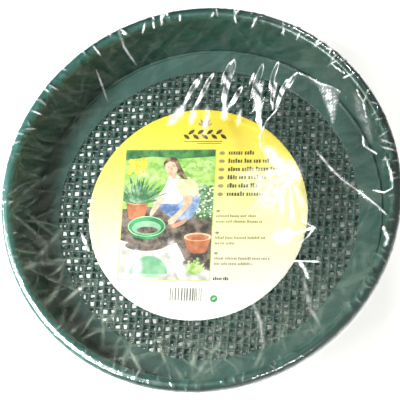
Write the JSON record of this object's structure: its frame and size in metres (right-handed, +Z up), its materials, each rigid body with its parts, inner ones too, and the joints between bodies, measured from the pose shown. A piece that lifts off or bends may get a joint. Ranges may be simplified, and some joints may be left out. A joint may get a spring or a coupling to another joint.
{
  "type": "soil sieve",
  "caption": "Round garden soil sieve: a deep pan with a rolled rim, exchangeable stacked square-mesh inserts, a round label card and a clear wrapping film.",
  "frame": {"origin": "on the table, under the centre of the pan", "axes": "+Z up along the pan's axis, +Y towards the top of the label card, +X to the right of the label card"},
  "size_m": [0.3821, 0.3822, 0.0811],
  "materials": {
    "pan_plastic": "satin moulded plastic, bottle green",
    "insert_plastic": "satin moulded plastic, bottle green",
    "card": null,
    "film": "clear glossy film"
  },
  "bodies": {
    "pan": {"pan": "pan_plastic"},
    "coarse_insert": {"coarse_insert": "insert_plastic"},
    "fine_insert": {"fine_insert": "insert_plastic"},
    "label_card": {"label_card": "card"},
    "shrink_film": {"shrink_film": "film"}
  },
  "joints": [
    {"name": "coarse_insert_lift", "type": "slide", "parent": "pan", "child": "coarse_insert", "axis": [0, 0, 1], "range_m": [0, 0.08]},
    {"name": "fine_insert_lift", "type": "slide", "parent": "coarse_insert", "child": "fine_insert", "axis": [0, 0, 1], "range_m": [0, 0.08]},
    {"name": "label_card_lift", "type": "slide", "parent": "fine_insert", "child": "label_card", "axis": [0, 0, 1], "range_m": [0, 0.08]},
    {"name": "shrink_film_lift", "type": "slide", "parent": "label_card", "child": "shrink_film", "axis": [0, 0, 1], "range_m": [0, 0.08]}
  ]
}
